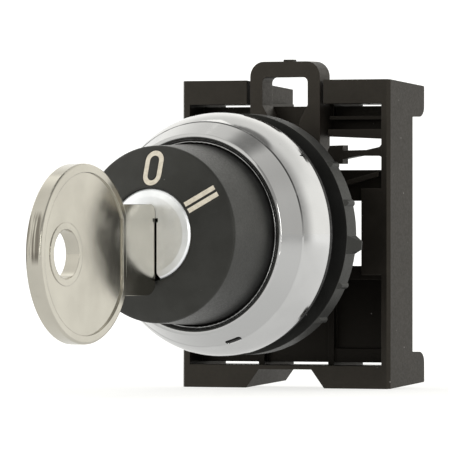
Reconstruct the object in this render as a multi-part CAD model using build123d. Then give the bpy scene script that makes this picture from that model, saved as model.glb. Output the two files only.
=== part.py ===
from build123d import *
import os

# Selector key switch for a 22.5 mm panel hole. Millimetres, +Z up.
# The origin is on the switch's axis, at the rear face of the panel gasket, where the panel's
# front face lies. -Y points out of the panel to the operator, +Y goes back behind the panel.

# ---- driving dimensions -------------------------------------------------------------------
SHANK_R = 11.15  # standard 22.3 mm shank
SHANK_END = 12.2
GASKET_T = 1.0
GASKET_R = 14.65
BEZEL_R = 14.85
BEZEL_MOUTH_R = 11.5
BEZEL_SHOULDER_R = 13.74  # where the rounded side meets the front cone
BEZEL_SHOULDER_Y = -5.5
BEZEL_FRONT_Y = -8.42
SEAL_INNER_R = 11.35
TRIM_INNER_R = 11.12
TRIM_REAR = -5.55
FLANGE_R = 14.0
FLANGE_FRONT = -3.2
CLAMP_FRONT = -3.9  # front of the collar's foot, which the bezel clamps
FOOT_R = 13.2
COLLAR_REAR_R = 11.08
COLLAR_FRONT_R = 10.65
COLLAR_CREASE_Y = -17.1
COLLAR_LIP_R = 5.58
COLLAR_LIP_Y = -18.85
SHELL_R = 8.5
SHELL_FRONT = -15.2
SHELL_REAR = 6.4
PLUG_R = 4.95
PLUG_HEAD_R = 5.5
PLUG_FACE = -19.0
PLUG_REAR = 7.6
PLUG_SLOT_DEPTH = 3.5  # of the wide mouth of the keyway
PLUG_SLOT_HALF = 1.0  # half width of that mouth
KEY_TURN = 60.0  # degrees between the two key positions
BARS_ANGLE = 57.5  # degrees from the "0" to the double bar
MARK_T = 0.25
BLADE_HALF = 0.65
BLADE_TOP = 1.75
BLADE_BOTTOM = -3.3
BLADE_TIP = 5.0
WAFER_COUNT = 5
WAFER_FIRST = -12.5
WAFER_PITCH = 3.0
WAFER_T = 0.7
WAFER_RISE = 0.8
ROTOR_REAR = 9.6
ROTOR_R = 8.2
CAM_R = 5.9  # radius at which the plungers ride
CAM_LEAD = 18.0  # axial rise per turn of the helical ramps
RAMP_LEAD_IN = 4.9  # degrees of ramp before the plunger at rest
DETENT_R = 0.75
PLUNGER_R = 0.95
PLUNGER_TIP = 18.4
NECK_R = 7.9
NECK_BORE = 7.2
NECK_END = 18.2
NUT_FRONT = 3.5
NUT_REAR = 5.9
NUT_BODY_R = 14.75
NUT_TOOTH_R = 15.62
ADAPTER_FRONT = 14.65
ADAPTER_HALF = 14.6
ADAPTER_TOP = 19.04
ADAPTER_BOTTOM = -19.0
ADAPTER_WALL = 1.1
BAR_FALL = 0.08  # how far the bars' outer faces close in per mm of depth
CHAMBER_TOP = 15.8
CHAMBER_BOTTOM = -15.82
CHAMBER_FRONT = 18.3  # front of each chamber's rear wall
LEDGE = 14.5  # height at which the side walls step out into their lugs
LUG_DEPTH = 9.2
WALL_DEPTH = 6.15
LUG_EXTENSION = 11.9  # depth of the two long lugs beside the latch
PARTITION_DEPTH = 10.5
LATCH_T = 2.6
LATCH_HALF = 4.9
LATCH_TOP = 21.33
LATCH_FOOT = 7.4
LATCH_SKIN = 0.6  # the wall in front of its spring
LATCH_SILL = 13.2  # lower end of its eye
LATCH_POCKET_FLOOR = 9.0
LATCH_STOP_Z = 12.9  # underside of the adapter's stop for the latch's spring
KEY_BOW_R = 10.7
KEY_BOW_Y = -35.7
KEY_BOW_Z = -2.3
KEY_BOW_HALF = 1.05
KEY_BOSS_HALF = 0.92  # half thickness of the collar round the ring hole
KEY_PANEL_HALF = 0.83  # half thickness of the bow's sunk panel
KEY_NECK_HALF = 0.84  # half thickness between the bow and the blade
KEY_BOW_CUT = -26.0  # where the bow's disc ends and the neck begins
KEY_HOLE_R = 2.95
KEY_HOLE_Y = -40.1


# ---- shared shapes ------------------------------------------------------------------------
def rod(radius, y0, y1, x=0.0, z=0.0):
    """A cylinder along Y."""
    return Pos(x, (y0 + y1) / 2, z) * Rot(90, 0, 0) * Cylinder(radius, y1 - y0)


def ring(outer, inner, y0, y1):
    return rod(outer, y0, y1) - rod(inner, y0 - 1, y1 + 1)


def block(x0, x1, y0, y1, z0, z1):
    size = Box(x1 - x0, y1 - y0, z1 - z0)
    return Pos((x0 + x1) / 2, (y0 + y1) / 2, (z0 + z1) / 2) * size


def turned(*points):
    """A solid of revolution about Y, from (radius, y) points."""
    return revolve(make_face(Polyline(*points, close=True)), Axis.Y)


def front_prism(sketch, y0, y1):
    """A sketch drawn as seen from the front, made solid from y0 back to y1."""
    return extrude(Plane.XZ.offset(-y0) * sketch, amount=y0 - y1)


def clockwise(shape, degrees):
    """The shape turned about the switch's axis, clockwise as seen from the front."""
    return Rot(0, degrees, 0) * shape


def coil(radius, wire_r, length, turns):
    """A compression spring along +Z from the origin, its end turns inside its length."""
    travel = length - 2 * wire_r
    path = Pos(0, 0, wire_r) * Helix(travel / turns, travel, radius - wire_r)
    section = Plane(path @ 0, z_dir=path % 0) * Circle(wire_r)
    return sweep(section, path)


# ---- front pieces -------------------------------------------------------------------------
def radial_punch(sketch, y, floor_r, degrees):
    """A sketch, drawn as seen from outside, made a punch that points straight out from floor_r."""
    return clockwise(extrude(Pos(0, y, floor_r) * sketch, amount=4), degrees)


def make_bezel():
    shoulder = (BEZEL_SHOULDER_R, BEZEL_SHOULDER_Y)
    crease = (BEZEL_SHOULDER_R - 0.14, BEZEL_SHOULDER_Y - 0.14)
    lip_start = (12.25, BEZEL_FRONT_Y + 0.17)
    lip_end = (BEZEL_MOUTH_R, BEZEL_FRONT_Y + 0.22)
    side_start = (BEZEL_R, -1.7)
    side = TangentArc(side_start, shoulder, tangent=(0, -1))
    cone = Polyline(shoulder, crease, lip_start)
    lip = ThreePointArc(lip_start, (11.95, BEZEL_FRONT_Y), lip_end)
    inside = Polyline(
        lip_end,
        (BEZEL_MOUTH_R, CLAMP_FRONT),
        (FOOT_R + 0.05, CLAMP_FRONT),
        (FOOT_R + 0.05, FLANGE_FRONT),
        (FLANGE_R + 0.05, FLANGE_FRONT),
        (FLANGE_R + 0.05, -GASKET_T),
        (BEZEL_R, -GASKET_T),
        side_start,
    )
    body = revolve(make_face([side, cone, lip, inside]), Axis.Y)
    # a nick at the rear edge, a vent hole, and a slot for a screwdriver in the front cone
    nick = make_face(Polyline((-0.3, 0.1), (0.3, 0.1), (0.05, -1.2), (-0.05, -1.2), close=True))
    body -= radial_punch(nick, -GASKET_T, FLANGE_R - 0.1, 50)
    body -= radial_punch(Circle(0.2), -1.45, FLANGE_R - 0.1, 129)
    return body - radial_punch(SlotOverall(2.2, 0.72), -5.8, BEZEL_MOUTH_R - 0.05, 162)


def make_bezel_seal():
    outer, rear_inner_r = BEZEL_MOUTH_R - 0.02, 11.2
    front = BEZEL_FRONT_Y + 0.37
    return turned(
        (outer, CLAMP_FRONT),
        (outer, front),
        (SEAL_INNER_R, front),
        (SEAL_INNER_R, TRIM_REAR + 0.05),
        (rear_inner_r, TRIM_REAR + 0.05),
        (rear_inner_r, CLAMP_FRONT),
    )


def make_bezel_trim_ring():
    outer, front = SEAL_INNER_R - 0.02, BEZEL_FRONT_Y + 0.22
    outer_edge, inner_edge = (outer, front + 0.1), (TRIM_INNER_R, front + 0.1)
    nose = ThreePointArc(outer_edge, ((outer + TRIM_INNER_R) / 2, front), inner_edge)
    sides = Polyline(inner_edge, (TRIM_INNER_R, TRIM_REAR), (outer, TRIM_REAR), outer_edge)
    return revolve(make_face([nose, sides]), Axis.Y)


def make_panel_gasket():
    flat = ring(GASKET_R, SHANK_R + 0.05, -GASKET_T, 0)
    return flat - block(-1.7, 1.7, -2, 1, SHANK_R - 1, 13.0)


def collar_face_y(radius):
    """Where the collar's conical front face lies at a radius."""
    slope = (COLLAR_CREASE_Y - COLLAR_LIP_Y) / (COLLAR_FRONT_R - COLLAR_LIP_R)
    return COLLAR_LIP_Y + (radius - COLLAR_LIP_R) * slope


def make_position_marks():
    """A "0" at the top and a double bar to its right, as inlays in the conical face."""
    zero = SlotOverall(4.18, 2.45) - SlotOverall(2.98, 1.25)
    bars = [Pos(x, 7.85) * Rectangle(0.58, 3.9) for x in (-0.455, 0.455)]
    outline = Pos(0, 7.97) * Rot(0, 0, 90) * zero + Rot(0, 0, -BARS_ANGLE) * Sketch(children=bars)
    skin = turned(
        (5.8, collar_face_y(5.8) - 0.02),
        (10.4, collar_face_y(10.4) - 0.02),
        (10.4, collar_face_y(10.4) + MARK_T),
        (5.8, collar_face_y(5.8) + MARK_T),
    )
    return front_prism(outline, -20, -15) & skin


def make_key_collar(marks):
    crease_r, lip_r = COLLAR_FRONT_R - 0.08, COLLAR_LIP_R + 0.12
    body = turned(
        (FOOT_R, FLANGE_FRONT),
        (FOOT_R, CLAMP_FRONT),
        (COLLAR_REAR_R, CLAMP_FRONT),
        (COLLAR_FRONT_R + 0.03, COLLAR_CREASE_Y + 0.12),
        (crease_r, collar_face_y(crease_r)),
        (lip_r, collar_face_y(lip_r)),
        (COLLAR_LIP_R, COLLAR_LIP_Y + 0.12),
        (COLLAR_LIP_R, SHELL_FRONT),
        (SHELL_R + 0.1, SHELL_FRONT),
        (SHELL_R + 0.1, FLANGE_FRONT),
    )
    return body - marks


# ---- actuator body and lock ---------------------------------------------------------------
def make_actuator_body():
    thread_pitch, thread_core = 1.5, SHANK_R - 0.75
    body = rod(FLANGE_R, FLANGE_FRONT, -GASKET_T) + rod(SHANK_R, -GASKET_T, 1.7)
    body += rod(thread_core, 1.7, SHANK_END)
    turns = int((SHANK_END - 2.0) / thread_pitch)
    for turn in range(turns):
        y = 1.9 + turn * thread_pitch
        body += turned(
            (thread_core - 0.5, y),
            (thread_core, y),
            (SHANK_R, y + 0.55),
            (SHANK_R, y + 0.8),
            (thread_core, y + 1.35),
            (thread_core - 0.5, y + 1.35),
        )
    body += rod(9.6, SHANK_END, ADAPTER_FRONT - 0.05) + rod(NECK_R, SHANK_END, NECK_END)
    body += ring(9.2, NECK_R - 0.3, ADAPTER_FRONT + LATCH_T + 0.1, NECK_END) & block(
        -5.6, 5.6, 10, 20, 0, 12
    )
    body += block(-1.5, 1.5, -GASKET_T, 1.6, SHANK_R - 0.6, 12.8)
    body -= rod(SHELL_R + 0.05, -5, 11.0) + rod(NECK_BORE, 10, 20)
    return body - rod(10.55, -5, -2.0)


def wafer_y(index):
    return WAFER_FIRST + index * WAFER_PITCH


def make_lock_shell():
    """The fixed barrel, broached at both key positions so that the wafers can drop there."""
    body = ring(SHELL_R, PLUG_R + 0.05, SHELL_FRONT, SHELL_REAR)
    body += ring(10.5, SHELL_R - 0.5, FLANGE_FRONT, -2.0)
    groove = block(-2.6, 2.6, WAFER_FIRST - 1.5, wafer_y(WAFER_COUNT - 1) + 1.5, 0, 6.1)
    return body - groove - clockwise(groove, KEY_TURN)


def make_lock_plug():
    body = turned(
        (0, PLUG_FACE),
        (PLUG_HEAD_R - 0.95, PLUG_FACE),
        (PLUG_HEAD_R - 0.25, PLUG_FACE + 0.14),
        (PLUG_HEAD_R, PLUG_FACE + 0.35),
        (PLUG_HEAD_R, SHELL_FRONT - 0.05),
        (0, SHELL_FRONT - 0.05),
    )
    body += rod(PLUG_R, SHELL_FRONT - 0.1, PLUG_REAR)
    body += block(-2.0, 2.0, PLUG_REAR, ROTOR_REAR + 0.4, -2.0, 2.0)
    body -= block(-0.75, 0.75, -20, BLADE_TIP + 0.3, BLADE_BOTTOM - 0.15, BLADE_TOP + 0.15)
    # the keyway's mouth is wider, flared at the top and under the rim
    half = PLUG_SLOT_HALF
    body -= block(-half, half, -20, PLUG_FACE + PLUG_SLOT_DEPTH, -6, BLADE_TOP + 0.1)
    body -= block(-half - 0.17, half + 0.17, -20, PLUG_FACE + 0.5, 1.45, 1.95)
    flare = Polyline((-half, -4.7), (half, -4.7), (1.7, -5.7), (-1.7, -5.7), close=True)
    body -= front_prism(make_face(flare), -20, PLUG_FACE + 0.8)
    for index in range(WAFER_COUNT):
        y = wafer_y(index)
        body -= block(-2.35, 2.35, y - 0.4, y + 0.4, -6, 6)
        body -= block(2.3, 3.8, y - 0.4, y + 0.4, -2.6, 1.15)
    body -= ring(6, PLUG_R - 0.6, SHELL_REAR + 0.1, SHELL_REAR + 0.7)
    return body - rod(0.8, PLUG_REAR - 0.5, 12)


def make_lock_wafer(index):
    """A tumbler with a window for the blade and an ear for its spring."""
    y = wafer_y(index)
    y0, y1 = y - WAFER_T / 2, y + WAFER_T / 2
    plate = block(-2.3, 2.3, y0, y1, -5, 5) + block(2.2, 3.7, y0, y1, -0.6, 0.2)
    window = block(-0.85, 0.85, y - 1, y + 1, BLADE_BOTTOM - WAFER_RISE - 0.05, 2.8)
    return (plate & rod(PLUG_R - 0.07, y0 - 1, y1 + 1)) - window


def make_wafer_springs():
    return [
        Pos(3.1, wafer_y(index), -2.6) * coil(0.34, 0.08, 2.0, 5) for index in range(WAFER_COUNT)
    ]


def make_plug_clip():
    """A C-shaped clip in the plug's rear groove, behind the lock shell."""
    flat = ring(6.4, PLUG_R - 0.55, SHELL_REAR + 0.12, SHELL_REAR + 0.68)
    return flat - block(-3.4, 3.4, 5, 9, -8, 0)


# ---- key ----------------------------------------------------------------------------------
def side_prism(sketch, half):
    """A sketch drawn in the YZ plane, made solid to both sides of X = 0."""
    return extrude(Plane.YZ.offset(-half) * sketch, amount=2 * half)


def make_key_bow():
    """A disc cut off towards the neck, with a sunk panel on both sides and a ring hole."""
    bow_place, hole_place = Pos(KEY_BOW_Y, KEY_BOW_Z), Pos(KEY_HOLE_Y, KEY_BOW_Z)
    rim_width, boss_r = 1.05, 3.75

    def in_front_of(y):
        return Pos(y - 30, KEY_BOW_Z) * Rectangle(60, 60)

    bow = side_prism(bow_place * Circle(KEY_BOW_R) & in_front_of(KEY_BOW_CUT), KEY_BOW_HALF)
    bow = fillet(bow.faces().filter_by(Axis.X).edges(), 0.3)
    panel = bow_place * Circle(KEY_BOW_R - rim_width) & in_front_of(KEY_BOW_CUT - 1.0)
    boss = hole_place * Circle(boss_r)
    for side in (1, -1):
        bow -= extrude(Plane.YZ.offset(side * KEY_PANEL_HALF) * (panel - boss), amount=side)
        bow -= extrude(Plane.YZ.offset(side * KEY_BOSS_HALF) * boss, amount=side)
    return bow - side_prism(hole_place * Circle(KEY_HOLE_R), 3)


def make_key():
    neck_top, neck_bottom = 3.6, -7.3
    neck_start, neck_end = KEY_BOW_CUT - 0.5, PLUG_FACE - 0.05
    neck = make_face(
        [
            Polyline(
                (PLUG_FACE - 2.0, neck_bottom),
                (neck_start, neck_bottom),
                (neck_start, neck_top),
                (PLUG_FACE - 1.4, neck_top),
            ),
            ThreePointArc(
                (PLUG_FACE - 1.4, neck_top),
                (PLUG_FACE - 0.4, neck_top - 0.25),
                (neck_end, neck_top - 0.85),
            ),
            Line((neck_end, neck_top - 0.85), (neck_end, neck_bottom + 1.0)),
            ThreePointArc(
                (neck_end, neck_bottom + 1.0),
                (PLUG_FACE - 0.9, neck_bottom + 0.3),
                (PLUG_FACE - 2.0, neck_bottom),
            ),
        ]
    )
    tip = Polyline(
        (PLUG_FACE - 1, BLADE_TOP),
        (BLADE_TIP - 1.6, BLADE_TOP),
        (BLADE_TIP, -0.2),
        (BLADE_TIP, -0.9),
        (BLADE_TIP - 2.0, BLADE_BOTTOM),
        (PLUG_FACE - 1, BLADE_BOTTOM),
        close=True,
    )
    blade = side_prism(make_face(tip), BLADE_HALF)
    for index, depth in zip(range(WAFER_COUNT), (0.7, 0.35, 0.8, 0.5, 0.65)):
        y = wafer_y(index)
        notch = Polyline(
            (y - 0.5 - depth, BLADE_BOTTOM - 0.1),
            (y - 0.5, BLADE_BOTTOM + depth),
            (y + 0.5, BLADE_BOTTOM + depth),
            (y + 0.5 + depth, BLADE_BOTTOM - 0.1),
            close=True,
        )
        blade -= side_prism(make_face(notch), 2)
    blade -= block(BLADE_HALF - 0.25, 2, PLUG_FACE, BLADE_TIP + 1, -0.6, 0.3)
    return make_key_bow() + side_prism(neck, KEY_NECK_HALF) + blade


# ---- cam, plungers and guide --------------------------------------------------------------
def make_cam_rotor():
    """A disc with two helical ramps that push the plungers back as the key turns."""
    body = rod(ROTOR_R, PLUG_REAR, ROTOR_REAR)
    rise = CAM_LEAD * (KEY_TURN + 24) / 360
    path = Helix(CAM_LEAD, rise, CAM_R, lefthand=True)
    section = Plane(path @ 0, x_dir=(1, 0, 0), z_dir=path % 0) * Pos(0, -2.0) * Rectangle(2.0, 4.0)
    ramp = Pos(0, ROTOR_REAR - 0.35, 0) * Rot(-90, 0, 0) * sweep(section, path, is_frenet=True)
    for lead_in in (RAMP_LEAD_IN, 180 + RAMP_LEAD_IN):
        body += clockwise(ramp, lead_in)
    body = body & rod(ROTOR_R, PLUG_REAR, 20)
    for notch in (0, -KEY_TURN):
        body -= clockwise(rod(DETENT_R + 0.1, 5, 12, 0, -ROTOR_R - 0.05), notch)
    return body - block(-2.05, 2.05, 5, 12, -2.05, 2.05)


def make_rotor_screw():
    head = rod(2.9, ROTOR_REAR + 0.4, ROTOR_REAR + 1.5)
    head -= block(-3, 3, ROTOR_REAR + 1.0, ROTOR_REAR + 2, -0.3, 0.3)
    return head + rod(0.78, PLUG_REAR - 0.4, ROTOR_REAR + 0.5)


def make_detent_spring():
    """A leaf spring beside the rotor's rim, seated in the shank's bore."""
    leaf = ring(SHELL_R, SHELL_R - 0.22, 7.7, 9.5) & block(-4.5, 4.5, 7, 10, -12, 0)
    bump = rod(DETENT_R, 7.7, 9.5, 0, -ROTOR_R - 0.05) & rod(SHELL_R, 7, 10)
    return leaf + bump


def make_plunger(x):
    nose = Pos(x, ROTOR_REAR + 0.05 + PLUNGER_R, 0) * Sphere(PLUNGER_R)
    body = nose + rod(PLUNGER_R, ROTOR_REAR + 0.05 + PLUNGER_R, PLUNGER_TIP, x)
    return body + rod(1.25, 11.6, 12.1, x)


def make_plunger_spring(x):
    return Pos(x, 12.1, 0) * Rot(-90, 0, 0) * coil(1.24, 0.11, 4.1, 5)


def make_plunger_guide():
    plate = rod(NECK_BORE - 0.03, 16.2, 17.8)
    for x in (-CAM_R, CAM_R):
        plate -= rod(PLUNGER_R + 0.05, 15, 19, x)
    plate += ring(3.6, 2.6, 17.8, NECK_END)
    return plate


# ---- panel nut ----------------------------------------------------------------------------
def make_mounting_nut():
    """A ring nut with two large teeth for a spanner and small nubs beside them for the fingers."""
    nub_r, nub_top_r = 0.435, 15.05
    body = rod(NUT_BODY_R, NUT_FRONT, NUT_REAR)
    ramp = turned(
        (0, NUT_FRONT),
        (NUT_BODY_R - 0.05, NUT_FRONT),
        (NUT_TOOTH_R + 0.1, NUT_REAR),
        (0, NUT_REAR),
    )
    outline = Polyline((-1.6, 14.0), (-0.5, NUT_TOOTH_R), (0.5, NUT_TOOTH_R), (1.6, 14.0), close=True)
    tooth = front_prism(make_face(outline), NUT_FRONT, NUT_REAR) & ramp
    nub = rod(nub_r, NUT_FRONT, NUT_REAR, 0, nub_top_r - nub_r) & ramp
    for tooth_angle in (95, 275):
        body += clockwise(tooth, tooth_angle)
        for offset in (-40, -20, 20, 40):
            body += clockwise(nub, tooth_angle + offset)
    bore_r, lead_in = SHANK_R + 0.05, 0.65
    return body - turned(
        (0, NUT_FRONT - 1),
        (bore_r + lead_in, NUT_FRONT - 1),
        (bore_r + lead_in, NUT_FRONT),
        (bore_r, NUT_FRONT + lead_in),
        (bore_r, NUT_REAR - lead_in),
        (bore_r + lead_in, NUT_REAR),
        (bore_r + lead_in, NUT_REAR + 1),
        (0, NUT_REAR + 1),
    )


# ---- adapter behind the panel -------------------------------------------------------------
def bar_face(z, y):
    """Height at depth y of an outer face that lies at height z at the adapter's front."""
    fall = BAR_FALL * (y - ADAPTER_FRONT)
    return z - fall if z > 0 else z + fall


def make_side_wall():
    """The right-hand wall, with a lug at the top and the bottom that reaches further back."""
    front = ADAPTER_FRONT
    wall_rear, lug_rear = front + WALL_DEPTH, front + LUG_DEPTH
    top, bottom = bar_face(ADAPTER_TOP, lug_rear), bar_face(ADAPTER_BOTTOM, lug_rear)
    outline = Polyline(
        (front, ADAPTER_BOTTOM),
        (lug_rear, bottom),
        (lug_rear, -LEDGE),
        (wall_rear, -LEDGE),
        (wall_rear, LEDGE),
        (lug_rear, LEDGE),
        (lug_rear, top),
        (front, ADAPTER_TOP),
        close=True,
    )
    face = make_face(outline)
    for z, radius in ((bottom, 0.2), (-LEDGE, 1.25), (LEDGE, 1.25), (top, 0.2)):
        corner = face.vertices().sort_by_distance((lug_rear, z))[0]
        face = fillet(corner, radius)
    wall = extrude(Plane.YZ.offset(ADAPTER_HALF - ADAPTER_WALL) * face, amount=ADAPTER_WALL)
    front_edges = wall.edges().filter_by(Axis.Z).group_by(Axis.Y)[0]
    return chamfer(front_edges.sort_by(Axis.X)[-1], 0.35)


def make_bars():
    """The top bar, parted for the latch, and the bottom bar with its dovetail notch."""
    front, rear = ADAPTER_FRONT, ADAPTER_FRONT + LUG_DEPTH
    lug_rear = front + LUG_EXTENSION
    inner, top_z, bottom_z = ADAPTER_HALF - 0.5, 16.07, -16.18

    def bar(inside_z, outside_z, end):
        rear_z = bar_face(outside_z, end)
        return make_face(
            Polyline((front, inside_z), (end, inside_z), (end, rear_z), (front, outside_z), close=True)
        )

    bars = side_prism(bar(top_z, ADAPTER_TOP, rear), inner)
    long_lugs = side_prism(bar(top_z, ADAPTER_TOP, lug_rear), 7.4)
    bars = bars + long_lugs - block(-5.4, 5.4, 10, 30, 15, 21)
    notch = Polyline((-3.7, -16.7), (3.7, -16.7), (5.9, -19.5), (-5.9, -19.5), close=True)
    bars += side_prism(bar(bottom_z, ADAPTER_BOTTOM, rear), inner)
    return bars - front_prism(make_face(notch), 10, 30)


def make_right_chamber():
    """The walls, ribs and contact-block catch of one outer chamber."""
    front, rib_rear = ADAPTER_FRONT, CHAMBER_FRONT + 0.1
    x0, x1 = 5.25, ADAPTER_HALF - ADAPTER_WALL + 0.1
    chamber = block(x0, x1, CHAMBER_FRONT, 19.6, 12.2, CHAMBER_TOP)
    chamber += block(x0, x1, 15.7, rib_rear, 14.1, 14.55) + block(x0, x1, 17.5, rib_rear, 12.85, 14.1)
    lintel = Polyline((x0, 12.05), (x0, 12.9), (x1, 12.9), (x1, 11.7), close=True)
    chamber += front_prism(make_face(lintel), 15.3, rib_rear)
    # the catch is a springy arm from the side wall with a hooked head
    catch = Polyline(
        (x1, 11.15), (13.2, 10.72), (11.4, 10.36), (8.1, 10.3), (8.1, 10.95), (6.3, 10.9),
        (5.6, 9.5), (6.4, 8.65), (8.1, 8.65), (8.1, 9.25), (10.4, 9.64), (13.2, 9.62), (x1, 9.45),
        close=True,
    )
    chamber += front_prism(make_face(catch), front + 0.05, front + 1.45)
    chamber += block(2.0, x1, 15.6, 17.3, 4.1, 7.9) + block(2.0, x1, 15.6, 17.3, -5.6, -3.9)
    rib = Polyline((6.0, 5.4), (6.0, 6.0), (12.9, 7.7), (12.9, 7.1), close=True)
    chamber += front_prism(make_face(rib), 15.0, 15.7)
    chamber += block(10.72, x1, front, 16.2, -5.0, 5.6)
    chamber += block(0, x1, CHAMBER_FRONT, 19.8, CHAMBER_BOTTOM, -5.6)
    chamber += block(x0, x1, 17.8, rib_rear, CHAMBER_BOTTOM, -14.1)
    partition = block(4.5, 5.3, front + 2.9, front + PARTITION_DEPTH, -16.3, 16.2)
    partition -= block(4, 6, 0, 30, -5.55, 12.1)
    return chamber + partition


def make_adapter_frame():
    half = make_right_chamber() + make_side_wall()
    body = make_bars() + half + mirror(half, Plane.YZ)
    body += block(-4.6, 4.6, 17.4, 18.6, 12.2, CHAMBER_TOP)
    body -= rod(NECK_R + 0.15, 10, 22)
    body -= block(-5.7, 5.7, 10, 17.35, 6.9, 14.9)
    body -= ring(9.4, NECK_R - 1, 17.2, 18.29) & block(-5.8, 5.8, 10, 20, 0, 12)
    stop_front = ADAPTER_FRONT + LATCH_SKIN + 0.15
    return body + block(-1.6, 1.6, stop_front, 17.5, LATCH_STOP_Z, LATCH_STOP_Z + 0.7)


def make_release_latch():
    """A sliding tab: an eye at the top and two legs whose feet drop behind the neck's keeper."""
    y0, y1 = ADAPTER_FRONT, ADAPTER_FRONT + LATCH_T
    plate = Pos(0, (LATCH_TOP + LATCH_FOOT) / 2) * Rectangle(2 * LATCH_HALF, LATCH_TOP - LATCH_FOOT)
    plate = fillet(plate.vertices().group_by(Axis.Y)[-1], 1.9)
    right = [(3.2, 19.4), (3.2, 15.95), (2.1, 14.0), (1.95, LATCH_SILL)]
    eye = Polyline(*right, *((-x, z) for x, z in reversed(right)), close=True)
    window = fillet(make_face(eye).vertices().group_by(Axis.Y)[-1], 0.7)
    gap = Polyline((-3.2, 8.2), (3.2, 8.2), (3.2, 5), (-3.2, 5), close=True)
    body = front_prism(plate - window - make_face(gap), y0, y1)
    body -= block(-1.95, 1.95, y0 + LATCH_SKIN, y1 + 1, LATCH_POCKET_FLOOR, LATCH_SILL + 0.1)
    middle = (y0 + y1) / 2
    return body + block(-0.63, 0.63, middle - 0.5, middle + 0.5, LATCH_TOP - 0.3, LATCH_TOP + 0.25)


def make_latch_spring():
    radius, middle = 0.95, ADAPTER_FRONT + (LATCH_SKIN + LATCH_T) / 2
    return Pos(0, middle, LATCH_POCKET_FLOOR) * coil(radius, 0.13, LATCH_STOP_Z - LATCH_POCKET_FLOOR, 4)


# ---- build and write ----------------------------------------------------------------------
def build_nodes():
    marks = make_position_marks()
    nodes = {
        "bezel": make_bezel(),
        "bezel_seal": make_bezel_seal(),
        "bezel_trim_ring": make_bezel_trim_ring(),
        "panel_gasket": make_panel_gasket(),
        "position_marks": marks,
        "key_collar": make_key_collar(marks),
        "actuator_body": make_actuator_body(),
        "lock_shell": make_lock_shell(),
        "lock_plug": make_lock_plug(),
        "wafer_springs": make_wafer_springs(),
        "plug_clip": make_plug_clip(),
        "key": make_key(),
        "cam_rotor": make_cam_rotor(),
        "rotor_screw": make_rotor_screw(),
        "detent_spring": make_detent_spring(),
        "plunger_left": make_plunger(-CAM_R),
        "plunger_right": make_plunger(CAM_R),
        "plunger_spring_left": make_plunger_spring(-CAM_R),
        "plunger_spring_right": make_plunger_spring(CAM_R),
        "plunger_guide": make_plunger_guide(),
        "mounting_nut": make_mounting_nut(),
        "adapter_frame": make_adapter_frame(),
        "release_latch": make_release_latch(),
        "latch_spring": make_latch_spring(),
    }
    for index in range(WAFER_COUNT):
        nodes[f"lock_wafer_{index + 1}"] = make_lock_wafer(index)
    return nodes


def main():
    os.makedirs("parts", exist_ok=True)
    for name, shape in build_nodes().items():
        solids = shape if isinstance(shape, list) else list(shape.solids())
        export_step(Compound(children=solids), f"parts/{name}.step")


main()
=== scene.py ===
import math

import bpy
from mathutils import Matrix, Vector


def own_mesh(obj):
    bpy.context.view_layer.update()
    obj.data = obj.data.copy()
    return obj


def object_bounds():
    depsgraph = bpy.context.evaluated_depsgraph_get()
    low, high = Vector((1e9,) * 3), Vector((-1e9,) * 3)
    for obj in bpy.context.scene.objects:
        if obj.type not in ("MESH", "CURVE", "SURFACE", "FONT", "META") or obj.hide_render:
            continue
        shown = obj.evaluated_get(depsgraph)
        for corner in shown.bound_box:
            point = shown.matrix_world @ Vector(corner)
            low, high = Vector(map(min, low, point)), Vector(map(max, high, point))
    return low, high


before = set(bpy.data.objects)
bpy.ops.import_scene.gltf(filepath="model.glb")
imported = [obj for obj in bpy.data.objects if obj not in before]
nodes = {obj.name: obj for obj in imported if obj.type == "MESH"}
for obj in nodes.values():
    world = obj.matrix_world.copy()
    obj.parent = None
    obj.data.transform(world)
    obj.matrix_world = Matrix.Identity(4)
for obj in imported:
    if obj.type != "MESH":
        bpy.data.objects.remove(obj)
cad_low, cad_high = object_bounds()

# Lengths are in metres. Y points away from the operator and Z points up.
MM = 0.001

# Camera: level with the axis, turned to the operator's right, with a long lens.
VIEW_TURN = math.radians(29.3)
VIEW_DISTANCE = 970 * MM
SENSOR_WIDTH = 36.0
FOCAL_LENGTH = 637.1
CLIP_START = 0.05
CLIP_END = 20
AIM_ASIDE = 0.264 * MM
AIM_HEIGHT = 1.133 * MM
AIM_DEPTH = -1.0 * MM

# Regions that the finishes pick out, in mm. A pair is the lowest and highest coordinate.
# The bezel's front cone has the radius BEZEL_CONE_TIP + BEZEL_CONE_SLOPE * Y.
BEZEL_CONE_SLOPE = 0.5172
BEZEL_CONE_TIP = 16.517
BEZEL_CONE_Y = (-9, -5.62)
BEZEL_STEP_Y = (-5.64, -5.52)
BEZEL_REAR_Y = (-2.4, 0)
BEZEL_INSIDE_R = (14.80, 14.72)
BEZEL_SLOT_ANGLE = 162
BEZEL_SLOT_Y = (-6.25, -5.38)
BEZEL_SLOT_HALF = (1.3, 1.2)
BEZEL_SLOT_DEPTH = (0.03, 0.08)
KEYWAY_X = (-1.01, 1.01)
KEYWAY_Y = (-18.85, 4)
KEYWAY_Z = (-5.45, 1.92)
KEY_RIM_STREAK_X = (-0.98, 0.98)
KEY_RIM_STREAK_Y = (-47.2, -45.2)
KEY_RIM_STREAK_Z = (-2.6, 1.8)
CHAMBERS_X = (-13.45, 13.45)
CHAMBERS_Y = (16.0, 40)
CHAMBERS_Z = (-16.1, 16.0)
LATCH_PANEL_X = (-4.9, 4.9)
LATCH_PANEL_Z = (11, 20)

# How far each coil spring is pressed together at its joint's limit, and along which axis.
PLUNGER_TRAVEL = 3.01 * MM
LATCH_TRAVEL = 2.5 * MM
SPRING_MOVES = (
    ("plunger_spring_left", "plunger_left_slide", (0, 1, 0), PLUNGER_TRAVEL),
    ("plunger_spring_right", "plunger_right_slide", (0, 1, 0), PLUNGER_TRAVEL),
    ("latch_spring", "latch_lift", (0, 0, 1), LATCH_TRAVEL),
)

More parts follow.
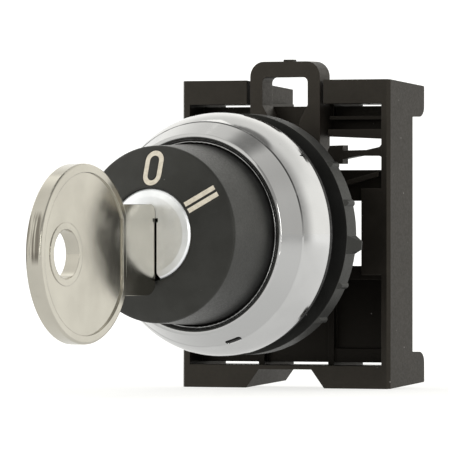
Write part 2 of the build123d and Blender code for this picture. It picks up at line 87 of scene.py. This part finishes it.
# Stage.
FLOOR_HALF_WIDTH = 0.8
FLOOR_FRONT = -1.9
FLOOR_BACK = 1.9
SWEEP_RADIUS = 0.4
BACKDROP_HEIGHT = 0.9
SWEEP_STEPS = 24

# Strengths of the surroundings. A direction's Y is 1 straight behind the object and its Z is 1
# straight above it.
WORLD_FRONT = 0.5
WORLD_BACK = 1.3
WORLD_TURN = (-0.10, 0.45)  # Y between which front turns into back
WORLD_HIGH = 0.80  # share that is left high up
WORLD_HIGH_Z = (0.45, 0.80)
WORLD_ZENITH = 0.3  # share that is left right above the object
WORLD_ZENITH_Z = (0.91, 0.955)
WARM_WHITE = (1.0, 0.993, 0.955)

# The paper glows evenly near the object. Far away, and nearer on its sides and behind it, it
# matches the surroundings.
PAPER_GLOW = 0.74
PAPER_BASE = 0.28
PAPER_MOTTLE = 0.01
PAPER_WHITE = (1.0, 1.0, 0.98, 1)
PAPER_FAR = (0.45, 1.0)
PAPER_FAR_BESIDE = (0.04, 0.3)
PAPER_BESIDE_Y = (-0.45, -0.1)

# Colours of the shine on black plastic.
WHITE = (1.0, 1.0, 1.0, 1)
OLIVE = (1.0, 1.0, 0.90, 1)
BROWN = (1.0, 0.91, 0.78, 1)


def add_camera():
    """Adds the camera and makes it the scene's."""
    across = Vector((math.cos(VIEW_TURN), math.sin(VIEW_TURN), 0))
    forward = Vector((-math.sin(VIEW_TURN), math.cos(VIEW_TURN), 0))
    target = Vector((0, AIM_DEPTH, AIM_HEIGHT)) + AIM_ASIDE * across
    data = bpy.data.cameras.new("camera")
    data.sensor_width = SENSOR_WIDTH
    data.lens = FOCAL_LENGTH
    data.clip_start = CLIP_START
    data.clip_end = CLIP_END
    camera = bpy.data.objects.new("camera", data)
    camera.location = target - VIEW_DISTANCE * forward
    camera.rotation_euler = forward.to_track_quat("-Z", "Y").to_euler()
    bpy.context.scene.collection.objects.link(camera)
    bpy.context.scene.camera = camera


class Finish:
    """A node material that is put together one node at a time, in the object's own coordinates."""

    def __init__(self, name):
        self.material = bpy.data.materials.new(name)
        self.material.use_nodes = True
        self.tree = self.material.node_tree
        self.shader = self.tree.nodes["Principled BSDF"]
        self.place = self.node("ShaderNodeTexCoord").outputs["Object"]

    def node(self, kind, **settings):
        made = self.tree.nodes.new(kind)
        for key, value in settings.items():
            setattr(made, key, value)
        return made

    def feed(self, socket, value):
        """Links an output to a socket, or sets a constant on it."""
        if isinstance(value, bpy.types.NodeSocket):
            self.tree.links.new(value, socket)
        else:
            socket.default_value = value

    def set(self, **values):
        """Sets or links the shader's sockets, named with _ for a space."""
        for key, value in values.items():
            self.feed(self.shader.inputs[key.replace("_", " ")], value)

    def axis(self, letter):
        """One of the object's coordinates."""
        split = self.node("ShaderNodeSeparateXYZ")
        self.feed(split.inputs[0], self.place)
        return split.outputs[letter]

    def length(self, vector):
        made = self.node("ShaderNodeVectorMath", operation="LENGTH")
        self.feed(made.inputs[0], vector)
        return made.outputs["Value"]

    def along(self, x, y, z):
        """How far a point lies along a direction."""
        made = self.node("ShaderNodeVectorMath", operation="DOT_PRODUCT")
        self.feed(made.inputs[0], self.place)
        made.inputs[1].default_value = (x, y, z)
        return made.outputs["Value"]

    def within(self, letter, low, high, soft=0.3):
        """1 where a coordinate lies between two values in mm, fading to 0 over soft mm outside."""
        value = self.axis(letter)
        above = self.between(value, (low - soft) * MM, low * MM)
        below = self.between(value, (high + soft) * MM, high * MM)
        return self.math("MULTIPLY", above, below)

    def both(self, *masks):
        result = masks[0]
        for mask in masks[1:]:
            result = self.math("MULTIPLY", result, mask)
        return result

    def stretched(self, sx, sy, sz):
        """The object's coordinates, scaled along each axis."""
        mapping = self.node("ShaderNodeMapping", vector_type="POINT")
        self.feed(mapping.inputs["Vector"], self.place)
        mapping.inputs["Scale"].default_value = (sx, sy, sz)
        return mapping.outputs["Vector"]

    def noise(self, grains_per_mm, detail=4.0, roughness=0.5, place=None):
        made = self.node("ShaderNodeTexNoise")
        self.feed(made.inputs["Vector"], place or self.place)
        made.inputs["Scale"].default_value = grains_per_mm / MM
        made.inputs["Detail"].default_value = detail
        made.inputs["Roughness"].default_value = roughness
        return made.outputs["Fac"]

    def cells(self, cells_per_mm):
        """Distance to the nearest of many scattered points."""
        made = self.node("ShaderNodeTexVoronoi")
        self.feed(made.inputs["Vector"], self.place)
        made.inputs["Scale"].default_value = cells_per_mm / MM
        return made.outputs["Distance"]

    def math(self, operation, first, second=0.0):
        made = self.node("ShaderNodeMath", operation=operation)
        self.feed(made.inputs[0], first)
        self.feed(made.inputs[1], second)
        return made.outputs[0]

    def between(self, value, low, high, out_low=0.0, out_high=1.0):
        """value taken from low..high to out_low..out_high, smoothly."""
        made = self.node("ShaderNodeMapRange", interpolation_type="SMOOTHSTEP")
        self.feed(made.inputs["Value"], value)
        made.inputs["From Min"].default_value = low
        made.inputs["From Max"].default_value = high
        made.inputs["To Min"].default_value = out_low
        made.inputs["To Max"].default_value = out_high
        return made.outputs["Result"]

    def blend(self, share, first, second):
        """A colour between two colours."""
        made = self.node("ShaderNodeMix", data_type="RGBA")
        self.feed(made.inputs["Factor"], share)
        self.feed(made.inputs[6], first)
        self.feed(made.inputs[7], second)
        return made.outputs[2]

    def bump(self, height, depth_mm, strength=1.0, under=None):
        made = self.node("ShaderNodeBump")
        self.feed(made.inputs["Height"], height)
        made.inputs["Distance"].default_value = depth_mm * MM
        made.inputs["Strength"].default_value = strength
        if under is not None:
            self.feed(made.inputs["Normal"], under)
        return made.outputs["Normal"]

    def soft_edge(self, radius_mm):
        """The surface's direction as if its edges were rounded."""
        made = self.node("ShaderNodeBevel", samples=6)
        made.inputs["Radius"].default_value = radius_mm * MM
        return made.outputs["Normal"]

    def edge_mask(self, radius_mm):
        """1 along sharp edges and 0 elsewhere."""
        rounded = self.soft_edge(radius_mm)
        flat = self.node("ShaderNodeNewGeometry").outputs["Normal"]
        dot = self.node("ShaderNodeVectorMath", operation="DOT_PRODUCT")
        self.feed(dot.inputs[0], rounded)
        self.feed(dot.inputs[1], flat)
        return self.between(dot.outputs["Value"], 0.999, 0.93)


def in_metres(pair):
    return tuple(value * MM for value in pair)


def grey(level, warm=0.0):
    """A linear colour: level in the middle, redder and less blue as warm rises."""
    return (level * (1 + warm), level, level * (1 - warm), 1)


def chrome():
    """Bright chromium plate on plastic: faint waves, thin wiping scratches and a few specks."""
    made = Finish("chrome_plate")
    haze = made.noise(0.25, detail=3)
    specks = made.between(made.cells(1.1), 0.05, 0.11, 1, 0)
    dirt = made.both(specks, made.between(made.noise(0.7, detail=1), 0.66, 0.72))
    plate = made.blend(made.between(haze, 0.35, 0.7), grey(0.57), grey(0.54))
    plate = made.blend(dirt, plate, grey(0.10))
    # painted shade: a dark line in the step between band and cone, darkest on the top
    step = made.both(
        made.within("Y", *BEZEL_STEP_Y, 0.02),
        made.between(made.noise(0.5), 0.25, 0.5, 0.35, 0.85),
        made.between(made.axis("Z"), 0, 4 * MM, 0.08, 1),
    )
    # painted shade: the cone's plate is darker than the band's, standing in for the darker
    # reflection it shows
    cone_painted_shade = made.within("Y", *BEZEL_CONE_Y, 0.02)
    plate = made.blend(cone_painted_shade, plate, grey(0.49))
    plate = made.blend(step, plate, grey(0.05))
    # painted shade: the walls of the nick and the vent at the rear, and of the cone's slot, are
    # near-black and not metallic
    radius = made.length(made.stretched(1, 0, 1))
    inside = made.between(radius, *in_metres(BEZEL_INSIDE_R))
    rear = made.both(made.within("Y", *BEZEL_REAR_Y, 0.05), inside)
    a = math.radians(BEZEL_SLOT_ANGLE)
    aside = made.math("ABSOLUTE", made.along(math.cos(a), 0, -math.sin(a)))
    slope = made.math("MULTIPLY", made.axis("Y"), BEZEL_CONE_SLOPE)
    cone = made.math("ADD", slope, BEZEL_CONE_TIP * MM)
    below = made.math("SUBTRACT", cone, radius)
    slot = made.both(
        made.within("Y", *BEZEL_SLOT_Y, 0.02),
        made.between(aside, *in_metres(BEZEL_SLOT_HALF)),
        made.between(below, *in_metres(BEZEL_SLOT_DEPTH)),
    )
    cut_walls_painted_shade = made.math("MAXIMUM", rear, slot)
    made.set(Base_Color=made.blend(cut_walls_painted_shade, plate, grey(0.02)))
    made.set(Metallic=made.between(cut_walls_painted_shade, 0, 1, 1, 0))
    made.set(Roughness=made.between(made.noise(1.6, detail=4), 0.3, 0.7, 0.08, 0.12))
    waves = made.bump(made.noise(0.22, detail=1), 0.004, 0.4)
    scratches = made.noise(3.0, detail=2, place=made.stretched(1, 0.15, 1))
    made.set(Normal=made.bump(scratches, 0.0004, 0.3, under=waves))
    return made.material


def trim_ring_painted_shade():
    """The thin plated ring in the bezel's mouth, its plate painted dark to stand in for the shade
    in the mouth's gap.
    """
    made = Finish("trim_plate_painted_shade")
    cloud = made.between(made.noise(0.8, detail=5), 0.35, 0.7)
    made.set(Base_Color=made.blend(cloud, grey(0.36), grey(0.22)))
    made.set(Metallic=1.0)
    made.set(Roughness=made.between(made.noise(2.4), 0.3, 0.7, 0.12, 0.26))
    made.set(Normal=made.bump(made.noise(3.0, detail=5), 0.004, 0.5))
    return made.material


def rubber():
    """Matt black rubber, a little dusty."""
    made = Finish("seal_rubber")
    dust = made.between(made.noise(1.5, detail=8, roughness=0.65), 0.5, 0.8)
    made.set(Base_Color=made.blend(dust, grey(0.006, 0.05), grey(0.018, 0.05)))
    made.set(Specular_IOR_Level=0.35)
    made.set(Roughness=made.between(made.noise(2.5), 0.3, 0.7, 0.50, 0.70))
    made.set(Normal=made.bump(made.noise(5.0, detail=6), 0.02, 0.5))
    return made.material


def plastic(
    name, shades, roughness, grain_depth=0.012, warm=0.0, tint=WHITE, rounding=0.10, recess_shade=None
):
    """Moulded plastic with a fine grain, lighter along its edges from wear and a painted edge
    highlight, and specked with lint.

    shades and roughness are pairs, from low to high. grain_depth and rounding, the radius of its
    edges, are in mm. tint is the colour of its shine. The last argument is a function of the
    finish that gives 1 in recesses, where shade is painted: a darker colour and a weaker shine.
    """
    low, high = shades
    made = Finish(name)
    made.set(Specular_Tint=tint)
    patches = made.between(made.noise(0.35, detail=5), 0.35, 0.7)
    body = made.blend(patches, grey(low, warm), grey(high, warm))
    # lighter edges: partly wear, partly a painted edge highlight
    edge_wear_and_highlight = made.both(made.edge_mask(0.10), made.between(made.noise(1.2), 0.3, 0.7, 0.05, 0.35))
    body = made.blend(edge_wear_and_highlight, body, grey(high * 2.6, warm))
    if recess_shade is None:
        made.set(Specular_IOR_Level=0.38)
    else:
        # painted shade in recesses: a darker colour and a weaker shine
        depth = recess_shade(made)
        body = made.blend(depth, body, grey(low * 0.45, warm))
        made.set(Specular_IOR_Level=made.between(depth, 0, 1, 0.38, 0.18))
    lint = made.both(
        made.between(made.cells(0.8), 0.05, 0.09, 1, 0),
        made.between(made.noise(0.5, detail=1), 0.60, 0.64),
    )
    made.set(Base_Color=made.blend(made.math("MULTIPLY", lint, 0.55), body, grey(0.30, 0.04)))
    made.set(Roughness=made.between(made.noise(4.0, detail=5), 0.3, 0.7, *roughness))
    grain = made.noise(6.5, detail=3, roughness=0.6)
    made.set(Normal=made.bump(grain, grain_depth, 0.8, under=made.soft_edge(rounding)))
    return made.material


def adapter_recess_shade(made):
    """1 inside the adapter's chambers, where shade is painted, but not on the panel behind the
    latch.
    """
    inside = made.both(
        made.within("X", *CHAMBERS_X, 0.1),
        made.within("Z", *CHAMBERS_Z, 0.1),
        made.within("Y", *CHAMBERS_Y, 1.0),
    )
    panel = made.both(
        made.within("X", *LATCH_PANEL_X, 0.1), made.within("Z", *LATCH_PANEL_Z, 0.1)
    )
    return made.both(inside, made.between(panel, 0, 1, 1, 0))


def inlay():
    """The cream infill of the marks on the collar, a little uneven."""
    made = Finish("mark_inlay")
    wear = made.between(made.noise(2.2, detail=6), 0.35, 0.75)
    made.set(Base_Color=made.blend(wear, (0.76, 0.70, 0.58, 1), (0.62, 0.56, 0.46, 1)))
    made.set(Roughness=made.between(made.noise(3.0), 0.3, 0.7, 0.45, 0.65))
    made.set(Normal=made.bump(made.noise(7.0), 0.012, 0.4))
    return made.material


def satin_zinc():
    """Die-cast zinc with a satin plate, painted near-black inside the keyway as shade."""
    made = Finish("lock_zinc")
    cloud = made.between(made.noise(0.35, detail=4, roughness=0.55), 0.35, 0.7)
    plate = made.blend(cloud, (0.93, 0.945, 0.96, 1), (0.83, 0.845, 0.86, 1))
    # painted shade: near-black inside the keyway
    keyway = made.both(
        made.within("X", *KEYWAY_X, 0.02),
        made.within("Y", *KEYWAY_Y, 0.12),
        made.within("Z", *KEYWAY_Z, 0.04),
    )
    made.set(Base_Color=made.blend(keyway, plate, grey(0.012)))
    made.set(Metallic=1.0)
    made.set(Roughness=made.between(made.noise(1.2, detail=4), 0.35, 0.7, 0.36, 0.46))
    made.set(Normal=made.bump(made.noise(4.0, detail=4), 0.003, 0.4, under=made.soft_edge(0.06)))
    return made.material


def worn_nickel():
    """Nickel-plated brass, warm and satin, with faint smudges and brushing along its length."""
    made = Finish("key_nickel")
    smudge = made.between(made.noise(0.16, detail=3, roughness=0.5), 0.3, 0.7)
    plate = made.blend(smudge, (0.505, 0.482, 0.422, 1), (0.45, 0.43, 0.375, 1))
    tarnish = made.between(made.noise(1.6, detail=8, roughness=0.7), 0.58, 0.76, 0, 0.30)
    plate = made.blend(tarnish, plate, (0.36, 0.34, 0.29, 1))
    # painted reflection: dark streaks along the rim
    lines = made.noise(0.5, detail=2, place=made.stretched(4, 0.2, 0.2))
    rim_painted_reflection = made.both(
        made.within("X", *KEY_RIM_STREAK_X, 0.05),
        made.within("Y", *KEY_RIM_STREAK_Y, 0.3),
        made.within("Z", *KEY_RIM_STREAK_Z, 1.2),
        made.between(lines, 0.42, 0.54),
    )
    made.set(Base_Color=made.blend(rim_painted_reflection, plate, (0.17, 0.155, 0.13, 1)))
    made.set(Metallic=1.0)
    brushed = made.noise(1.0, detail=4, roughness=0.6, place=made.stretched(1, 0.4, 5))
    made.set(Roughness=made.between(made.noise(0.5, detail=3), 0.3, 0.75, 0.16, 0.22))
    dents = made.bump(made.noise(0.22, detail=1), 0.008, 0.35, under=made.soft_edge(0.10))
    made.set(Normal=made.bump(brushed, 0.0012, 0.35, under=dents))
    return made.material


def drawn_metal(name, colour, roughness):
    """Drawn or turned metal. roughness is a pair, from low to high."""
    made = Finish(name)
    stain = made.between(made.noise(1.4, detail=6), 0.4, 0.75)
    darker = tuple(0.72 * c for c in colour[:3]) + (1,)
    made.set(Base_Color=made.blend(stain, colour, darker))
    made.set(Metallic=1.0)
    made.set(Roughness=made.between(made.noise(3.0, detail=4), 0.3, 0.7, *roughness))
    drawn = made.noise(6.0, detail=3, place=made.stretched(1, 0.2, 1))
    made.set(Normal=made.bump(drawn, 0.003, 0.4))
    return made.material


def paint_nodes():
    """Gives each CAD node its finish."""
    adapter = plastic(
        "adapter_plastic", (0.006, 0.009), (0.42, 0.54), warm=0.18, tint=BROWN, recess_shade=adapter_recess_shade
    )
    collar = plastic(
        "collar_plastic", (0.014, 0.021), (0.32, 0.46),
        grain_depth=0.018, tint=OLIVE, rounding=0.45,
    )
    latch = plastic("latch_plastic", (0.011, 0.015), (0.40, 0.54), warm=0.18, tint=BROWN)
    nut = plastic("nut_plastic", (0.013, 0.018), (0.38, 0.50), tint=OLIVE)
    body = plastic("body_plastic", (0.005, 0.007), (0.44, 0.58))
    cam = plastic("cam_plastic", (0.50, 0.58), (0.35, 0.50), grain_depth=0.010, warm=0.03)
    plunger = plastic("plunger_plastic", (0.48, 0.52), (0.38, 0.52), grain_depth=0.010, warm=0.05)
    springs = ["detent_spring", "plunger_spring_left", "plunger_spring_right", "latch_spring"]
    wafers = [name for name in nodes if name.startswith("lock_wafer_")]
    finishes = [
        (chrome(), ["bezel"]),
        (trim_ring_painted_shade(), ["bezel_trim_ring"]),
        (rubber(), ["bezel_seal", "panel_gasket"]),
        (collar, ["key_collar"]),
        (inlay(), ["position_marks"]),
        (body, ["actuator_body"]),
        (satin_zinc(), ["lock_shell", "lock_plug"]),
        (worn_nickel(), ["key"]),
        (nut, ["mounting_nut"]),
        (adapter, ["adapter_frame"]),
        (latch, ["release_latch"]),
        (cam, ["cam_rotor"]),
        (plunger, ["plunger_left", "plunger_right", "plunger_guide"]),
        (
            drawn_metal("spring_steel", (0.52, 0.51, 0.50, 1), (0.22, 0.36)),
            springs + ["plug_clip", "wafer_springs"],
        ),
        (drawn_metal("screw_steel", (0.60, 0.59, 0.56, 1), (0.20, 0.34)), ["rotor_screw"]),
        (drawn_metal("wafer_brass", (0.72, 0.55, 0.28, 1), (0.22, 0.38)), wafers),
    ]
    for material, names in finishes:
        for name in names:
            mesh = nodes[name].data
            mesh.materials.clear()
            mesh.materials.append(material)


def press_springs():
    """Gives each coil spring a mesh of its own."""
    for name, joint, axis, travel in SPRING_MOVES:
        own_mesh(nodes[name])


def add_stage():
    """A pale floor under the object that sweeps up into a backdrop."""
    floor = cad_low.z
    line = [(FLOOR_FRONT, floor), (FLOOR_BACK, floor)]
    for step in range(1, SWEEP_STEPS + 1):
        angle = math.pi / 2 * step / SWEEP_STEPS
        back = FLOOR_BACK + SWEEP_RADIUS * math.sin(angle)
        line.append((back, floor + SWEEP_RADIUS * (1 - math.cos(angle))))
    line.append((FLOOR_BACK + SWEEP_RADIUS, floor + BACKDROP_HEIGHT))
    across = Vector((math.cos(VIEW_TURN), math.sin(VIEW_TURN), 0))
    along = Vector((-math.sin(VIEW_TURN), math.cos(VIEW_TURN), 0))
    sides = (-FLOOR_HALF_WIDTH, FLOOR_HALF_WIDTH)
    vertices = [across * x + along * y + Vector((0, 0, z)) for y, z in line for x in sides]
    faces = [(2 * i, 2 * i + 1, 2 * i + 3, 2 * i + 2) for i in range(len(line) - 1)]
    mesh = bpy.data.meshes.new("studio_floor")
    mesh.from_pydata(vertices, [], faces)
    mesh.shade_smooth()
    sweep = bpy.data.objects.new("studio_floor", mesh)
    bpy.context.scene.collection.objects.link(sweep)
    paper = Finish("studio_paper")
    mottle = paper.between(paper.noise(0.02, detail=3), 0.3, 0.7)
    pale, dark = grey(PAPER_BASE + PAPER_MOTTLE), grey(PAPER_BASE - PAPER_MOTTLE)
    paper.set(Base_Color=paper.blend(mottle, pale, dark))
    paper.set(Roughness=0.9)
    distance = paper.length(paper.stretched(1, 1, 0))
    toward_back = paper.math("DIVIDE", paper.axis("Y"), distance)
    front, back = WORLD_FRONT - PAPER_BASE, WORLD_BACK - PAPER_BASE
    far = paper.between(toward_back, *WORLD_TURN, front, back)
    beside = paper.both(
        paper.between(distance, *PAPER_FAR_BESIDE), paper.between(toward_back, *PAPER_BESIDE_Y)
    )
    share = paper.math("MAXIMUM", paper.between(distance, *PAPER_FAR), beside)
    change = paper.math("MULTIPLY", share, paper.math("SUBTRACT", far, PAPER_GLOW))
    paper.set(Emission_Color=PAPER_WHITE)
    paper.set(Emission_Strength=paper.math("ADD", change, PAPER_GLOW))
    mesh.materials.append(paper.material)


def add_light(name, azimuth, elevation, distance, width, height, watts):
    """Adds a soft box aimed at the object. Azimuth 0 is its front and 90 is its right."""
    data = bpy.data.lights.new(name, "AREA")
    data.shape = "RECTANGLE"
    data.size = width
    data.size_y = height
    data.energy = watts
    data.color = WARM_WHITE
    light = bpy.data.objects.new(name, data)
    a, e = math.radians(azimuth), math.radians(elevation)
    out = Vector((math.sin(a) * math.cos(e), -math.cos(a) * math.cos(e), math.sin(e)))
    light.location = out * distance
    light.rotation_euler = (-out).to_track_quat("-Z", "Y").to_euler()
    bpy.context.scene.collection.objects.link(light)


def add_world():
    """A pale studio: white behind the object, greyer before and above it."""
    world = bpy.data.worlds.new("studio")
    bpy.context.scene.world = world
    world.use_nodes = True
    tree = world.node_tree
    background = tree.nodes["Background"]
    coordinates = tree.nodes.new("ShaderNodeTexCoord")
    split = tree.nodes.new("ShaderNodeSeparateXYZ")
    tree.links.new(coordinates.outputs["Generated"], split.inputs[0])

    def ramp(source, low, high, out_low, out_high):
        made = tree.nodes.new("ShaderNodeMapRange")
        made.interpolation_type = "SMOOTHSTEP"
        tree.links.new(source, made.inputs["Value"])
        for name, value in zip(
            ("From Min", "From Max", "To Min", "To Max"), (low, high, out_low, out_high)
        ):
            made.inputs[name].default_value = value
        return made.outputs["Result"]

    def combine(operation, first, second):
        made = tree.nodes.new("ShaderNodeMath")
        made.operation = operation
        tree.links.new(first, made.inputs[0])
        tree.links.new(second, made.inputs[1])
        return made.outputs[0]

    behind = ramp(split.outputs["Y"], *WORLD_TURN, WORLD_FRONT, WORLD_BACK)
    high = ramp(split.outputs["Z"], *WORLD_HIGH_Z, 1.0, WORLD_HIGH)
    zenith = ramp(split.outputs["Z"], *WORLD_ZENITH_Z, 1.0, WORLD_ZENITH)
    strength = combine("MULTIPLY", combine("MULTIPLY", behind, high), zenith)
    tree.links.new(strength, background.inputs["Strength"])
    background.inputs["Color"].default_value = (*WARM_WHITE, 1)


add_camera()
add_stage()
add_world()
add_light("key_light", azimuth=-50, elevation=45, distance=0.9, width=1.8, height=1.8, watts=7)
add_light("fill_light", azimuth=46, elevation=4, distance=1.0, width=0.16, height=0.6, watts=2)
paint_nodes()
press_springs()
bpy.context.scene.view_settings.view_transform = "Standard"
